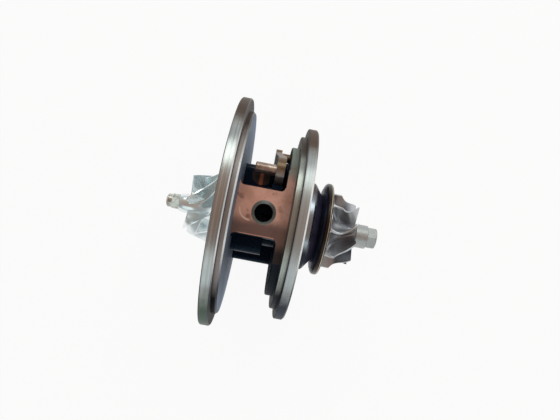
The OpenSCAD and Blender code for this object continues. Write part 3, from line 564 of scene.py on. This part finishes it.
class Shape:
    """Points and faces of one new piece."""

    def __init__(self):
        self.points = []
        self.faces = []

    def grid(self, rows, closed=False):
        """Faces between rows of points. In a closed grid each row is a ring."""
        base, width = len(self.points), len(rows[0])
        for row in rows:
            self.points.extend(row)
        for i in range(len(rows) - 1):
            near, far = base + i * width, base + (i + 1) * width
            for j in range(width if closed else width - 1):
                k = (j + 1) % width
                self.faces.append((near + j, far + j, far + k, near + k))

    def revolve(self, profile):
        """A turned section from a list of (x, r), smooth along its length."""
        step = 3
        self.grid([[around(x, r, degrees) for degrees in range(0, 360, step)] for x, r in profile], True)

    def finish(self, name, node, body, slot, paint):
        """Make the piece ride on a body, in place of a CAD node if one is named."""
        mesh = bpy.data.meshes.new(name)
        mesh.from_pydata([tuple(v * MM for v in point) for point in self.points], [], self.faces)
        mesh.update()
        for face in mesh.polygons:
            face.use_smooth = True
        mesh.materials.append(paint)
        obj = bpy.data.objects.new(name, mesh)
        bpy.context.scene.collection.objects.link(obj)
        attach(obj, body)
        if node:
            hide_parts(node)


def blade(shape, point, angle, start, end):
    """Two curved sides with a rounded leading edge, a fillet at the root, a flat tip and a flat outlet.

    point(t, s) gives place, turn and half thickness at t along the blade and s from its root to its tip.
    """
    steps, spans = 40, 16
    sunk_root = -0.05
    round_share = 0.03
    fillet, fillet_share = 0.55, 0.13
    sides = []
    for side in (1, -1):
        rows = []
        for i in range(steps + 1):
            share = (i / steps) ** 1.5
            rounding = math.sqrt(max(0.0, 1.0 - (1.0 - min(1.0, share / round_share)) ** 2))
            row = []
            for j in range(spans + 1):
                s = part_way(sunk_root, 1.0, j / spans)
                (x, r), turn, half = point(part_way(start, end, share), s)
                half = half * rounding + fillet * max(0.0, 1.0 - max(0.0, s) / fillet_share) ** 2
                row.append(around(x, r, angle + turn + side * math.degrees(half / r)))
            rows.append(row if side == 1 else row[::-1])
        sides.append(rows)
        shape.grid(rows)
    front, back = sides
    shape.grid([[a[-1], b[0]] for a, b in zip(front, back)])
    shape.grid([[a, b] for a, b in zip(front[-1], back[-1][::-1])][::-1])
    shape.grid([[a, b] for a, b in zip(front[0], back[0][::-1])])


# Wheels with finely drawn blades, by the same laws as the solids
comp = SimpleNamespace(
    blades=6, first_angle=28.0, splitter_from=0.3, blade_to=0.99, wrap=45.0, sweep=14.0,
    eye_x=-21.8, length=18.7, eye_r=17.0, out_r=24.5, out_w=3.2, hub_r=5.6,
    root_half=0.62, tip_half=0.34, back_x=-2.1, bore_r=2.52, end_x=-27.0)
turb = SimpleNamespace(
    blades=9, first_angle=93.0, lean=14.0, wrap=38.0, wrap_from=1.8,
    hub_x=55.3, length=15.2, in_r=20.9, out_r=17.0, in_w=4.9, root_r=5.8, root_half=1.0, tip_half=0.5,
    boss_x=50.7, boss_r=7.4, disc_x=54.5, disc_from=1.0 / 7.0,
    nose_x=71.7, nose_r=6.5, nose_end_x=78.4, hexagon_x=78.2, hexagon_r=6.25)
hub_steps = 48
centre_r = 0.01


def comp_hub_line(t):
    quarter = math.radians(90.0 * t)
    x = comp.eye_x + comp.length * math.sin(quarter)
    return x, part_way(comp.hub_r, comp.out_r, 1.0 - math.cos(quarter))


def comp_point(t, s):
    quarter = math.radians(90.0 * t)
    hub_x, hub_r = comp_hub_line(t)
    tip_x = comp.eye_x + (comp.length - comp.out_w) * math.sin(quarter)
    tip_r = part_way(comp.eye_r, comp.out_r, (1.0 - math.cos(quarter)) ** 1.3)
    x, r = part_way(hub_x, tip_x, s), part_way(hub_r, tip_r, s)
    slope = comp.wrap / 80.0 * (1.05 * (1.0 - t) + 0.1)
    half = part_way(comp.root_half, comp.tip_half, s) * math.sqrt(1.0 + (r / 9.0 * slope) ** 2)
    turn = -comp.wrap * (1.0 - (1.0 - t) ** 2) - comp.sweep * t ** 3
    return (x, r), turn, half * part_way(0.75, 1.0, min(1.0, 4.0 * t))


def turb_hub_line(t):
    quarter = math.radians(90.0 * t)
    x = turb.hub_x + turb.length * (1.0 - math.cos(quarter))
    return x, part_way(turb.in_r, turb.root_r, math.sin(quarter))


def turb_point(t, s):
    hub_x, hub_r = turb_hub_line(t)
    tip_x = turb.hub_x + part_way(turb.in_w, turb.length, t)
    tip_r = part_way(turb.out_r, turb.in_r, (1.0 - t) ** 4.6)
    x, r = part_way(hub_x, tip_x, s), part_way(hub_r, tip_r, s)
    half = part_way(turb.root_half, turb.tip_half, s) * (1.0 + 0.7 * t * t) * (1.0 - 0.35 * t ** 6)
    along = x - turb.hub_x
    wrapped = max(0.0, (along - turb.wrap_from) / (turb.length - turb.wrap_from))
    return (x, r), turb.lean * along / turb.length - turb.wrap * wrapped ** 2.2, half


def compressor_wheel():
    wheel = Shape()
    rim_x = comp.eye_x + comp.length
    hub = [comp_hub_line(1.0 - i / hub_steps) for i in range(hub_steps + 1)]
    nose = [(-22.4, comp.hub_r), (-24.6, 5.3), (-26.6, 5.0), (-26.9, 4.85)]
    wheel.revolve([(comp.back_x, comp.bore_r), (comp.back_x, comp.out_r)])
    wheel.revolve([(comp.back_x, comp.out_r), (rim_x, comp.out_r)])
    wheel.revolve(hub + nose)
    wheel.revolve([nose[-1], (comp.end_x, 4.8), (comp.end_x, comp.bore_r)])
    wheel.revolve([(comp.end_x, comp.bore_r), (comp.back_x, comp.bore_r)])
    pitch = 360.0 / comp.blades
    for i in range(comp.blades):
        angle = comp.first_angle + pitch * i
        blade(wheel, comp_point, angle, 0.0, comp.blade_to)
        blade(wheel, comp_point, angle + pitch / 2.0, comp.splitter_from, comp.blade_to)
    return wheel


def hexagon(shape):
    """The wheel's hexagon, with a rounded end turned into its corners."""
    rounded = [(82.0, 6.5), (82.4, 6.3), (82.7, 6.12), (83.0, 5.9), (83.3, 5.55), (83.6, 4.9)]
    sections = [(turb.hexagon_x, turb.nose_r)] + rounded + [(rounded[-1][0], 2.0 * centre_r)]
    flat_r = turb.hexagon_r * math.cos(math.radians(30.0))
    for side in range(6):
        rows = []
        for x, turned_r in sections:
            row = []
            for j in range(25):
                degrees = -30.0 + 2.5 * j
                r = min(turned_r, flat_r / math.cos(math.radians(degrees)))
                row.append(around(x, r, degrees + 60.0 * side))
            rows.append(row)
        shape.grid(rows[:-1])
        shape.grid(rows[-2:])


def turbine_wheel():
    wheel = Shape()
    disc = turb_hub_line(turb.disc_from)
    boss_edge = (turb.disc_x, 7.7)
    disc_edge = (turb.disc_x, disc[1])
    hub = [turb_hub_line(part_way(turb.disc_from, 1.0, i / hub_steps)) for i in range(hub_steps + 1)]
    nose = (turb.nose_x, turb.nose_r)
    shoulder = (78.0, turb.nose_r)
    wheel.revolve([(turb.boss_x, centre_r), (turb.boss_x, turb.boss_r)])
    wheel.revolve([(turb.boss_x, turb.boss_r), (54.2, turb.boss_r), boss_edge])
    wheel.revolve([boss_edge, disc_edge])
    wheel.revolve([disc_edge, disc])
    wheel.revolve(hub + [(70.9, turb.root_r), (71.3, 6.1), nose])
    wheel.revolve([nose, shoulder])
    wheel.revolve([shoulder, (turb.hexagon_x, 6.42), (turb.nose_end_x, 6.1), (turb.nose_end_x, 4.0)])
    hexagon(wheel)
    for i in range(turb.blades):
        blade(wheel, turb_point, turb.first_angle + 360.0 / turb.blades * i, 0.0, 1.0)
    return wheel


def web_ring(x, r):
    """Outline of the web at one station along the shaft: a slot with round ends, long in y."""
    far_y, near_y = 27.1, 21.9
    ring = [around(x, r, degrees) for degrees in range(0, 360, 5)]
    return [(x, y + (far_y if y >= 0.0 else near_y), z) for x, y, z in ring]


def cast_web():
    """A web on the inner face of the turbine flange, from the core to just short of the spindle."""
    web = Shape()
    profile = [(turb_front_x, 5.7), (27.2, 5.6), (26.85, 5.3), (26.65, 4.9)]
    face_x, face_r = profile[-1]
    web.grid([web_ring(x, r) for x, r in profile], True)
    web.grid([web_ring(face_x, face_r), web_ring(face_x, centre_r)], True)
    return web


compressor_wheel().finish(
    "compressor_wheel_fine", "compressor_wheel", "rotor", "cast_aluminium", slot_paints["cast_aluminium"])
turbine_wheel().finish(
    "turbine_wheel_fine", "turbine_wheel", "rotor", "cast_nickel_alloy", slot_paints["cast_nickel_alloy"])
cast_web().finish("cast_web", None, "housing", "cast_housing", paints["cast"])


# Stage: a pale floor under the large flange, a graded sky and soft light from the two sides
def floor_material():
    """Pale floor that the camera, mirrors and glass see mostly as plain white, with a faint shadow."""
    white_share = 0.92
    material = bpy.data.materials.new("studio_floor")
    material.use_nodes = True
    material.node_tree.nodes.clear()
    tree = ShaderTree(material.node_tree)
    ray = tree.add("ShaderNodeLightPath").outputs
    seen = tree.greater(ray["Is Camera Ray"], ray["Is Glossy Ray"])
    seen = tree.greater(seen, ray["Is Transmission Ray"])
    lit = tree.add("ShaderNodeBsdfDiffuse", {"Color": (0.9, 0.9, 0.9, 1.0)})
    white = tree.add("ShaderNodeEmission", {"Color": (1.0, 1.0, 1.0, 1.0), "Strength": 1.0})
    blend = tree.add("ShaderNodeMixShader", {
        0: tree.times(seen, white_share), 1: lit.outputs[0], 2: white.outputs[0]})
    tree.add("ShaderNodeOutputMaterial", {"Surface": blend.outputs[0]})
    return material


def studio_sky():
    """Pale at the horizon, grey and warm above, and dimmer on the side away from the lever."""
    away_strength = 0.55
    stops = [
        (0.0, (0.98, 0.99, 1.0, 1.0)), (0.05, (0.9, 0.92, 0.94, 1.0)), (0.16, (0.5, 0.54, 0.56, 1.0)),
        (0.5, (0.5, 0.51, 0.5, 1.0)), (0.8, (0.56, 0.46, 0.4, 1.0)), (0.97, (0.56, 0.39, 0.32, 1.0))]
    world = bpy.data.worlds.new("studio")
    world.use_nodes = True
    world.node_tree.nodes.clear()
    tree = ShaderTree(world.node_tree)
    direction = tree.add("ShaderNodeTexCoord").outputs["Generated"]
    towards = tree.add("ShaderNodeSeparateXYZ", {0: direction}).outputs
    height = tree.add("ShaderNodeValToRGB", {0: towards[2]})
    colors = height.color_ramp.elements
    for element, (place, color) in zip(colors, (stops[0], stops[-1])):
        element.position = place
        element.color = color
    for place, color in stops[1:-1]:
        colors.new(place).color = color
    dim = tree.add("ShaderNodeMapRange", {"Value": towards[1], "From Min": -1.0, "To Min": away_strength})
    sky = tree.add("ShaderNodeBackground", {"Color": height.outputs[0], "Strength": dim.outputs["Result"]})
    tree.add("ShaderNodeOutputWorld", {"Surface": sky.outputs[0]})
    return world


def soft_light(name, place, size, power, color):
    """A rectangular lamp that points at the middle of the part."""
    target = Vector((0.02, 0.0, 0.0))
    light = bpy.data.lights.new(name, "AREA")
    light.shape = "RECTANGLE"
    light.size, light.size_y = size
    light.energy = power
    light.color = color
    lamp = bpy.data.objects.new(name, light)
    bpy.context.scene.collection.objects.link(lamp)
    lamp.location = place
    lamp.rotation_euler = (target - Vector(place)).to_track_quat("-Z", "Y").to_euler()


def camera_by_fit():
    """A camera nearly straight above the oil inlet, fitted to the outlines in the photograph."""
    roll, pitch, yaw = 0.1869, -0.0978, 0.0287
    aim = Vector((19.8, 0.0, 0.0)) * MM
    eye_in_view = Vector((9.3146, 4.40, 269.01)) * MM
    to_view = Matrix.Rotation(-roll, 3, "Z") @ Matrix.Rotation(pitch, 3, "X") @ Matrix.Rotation(yaw, 3, "Y")
    from_view = to_view.transposed()
    lens = bpy.data.cameras.new("camera")
    lens.sensor_width = 36.0
    lens.lens = 30.94
    lens.clip_start = 0.01
    camera = bpy.data.objects.new("camera", lens)
    bpy.context.scene.collection.objects.link(camera)
    camera.matrix_world = Matrix.Translation(from_view @ eye_in_view + aim) @ from_view.to_4x4()
    return camera


floor_size, floor_gap = 80.0, 0.5 * MM
bpy.ops.mesh.primitive_plane_add(size=floor_size, location=(0, 0, cad_box[0][2] - floor_gap))
floor = bpy.context.object
floor.name = "studio_floor"
floor.data.materials.append(floor_material())

soft_light("key", (0.05, 0.68, 0.59), (1.0, 0.34), 2.5, (0.91, 1.0, 0.965))
soft_light("fill", (0.05, -0.75, 0.44), (1.0, 0.6), 1.5, (0.86, 0.98, 1.0))
bpy.context.scene.world = studio_sky()
bpy.context.scene.camera = camera_by_fit()
bpy.context.scene.view_settings.view_transform = "Standard"
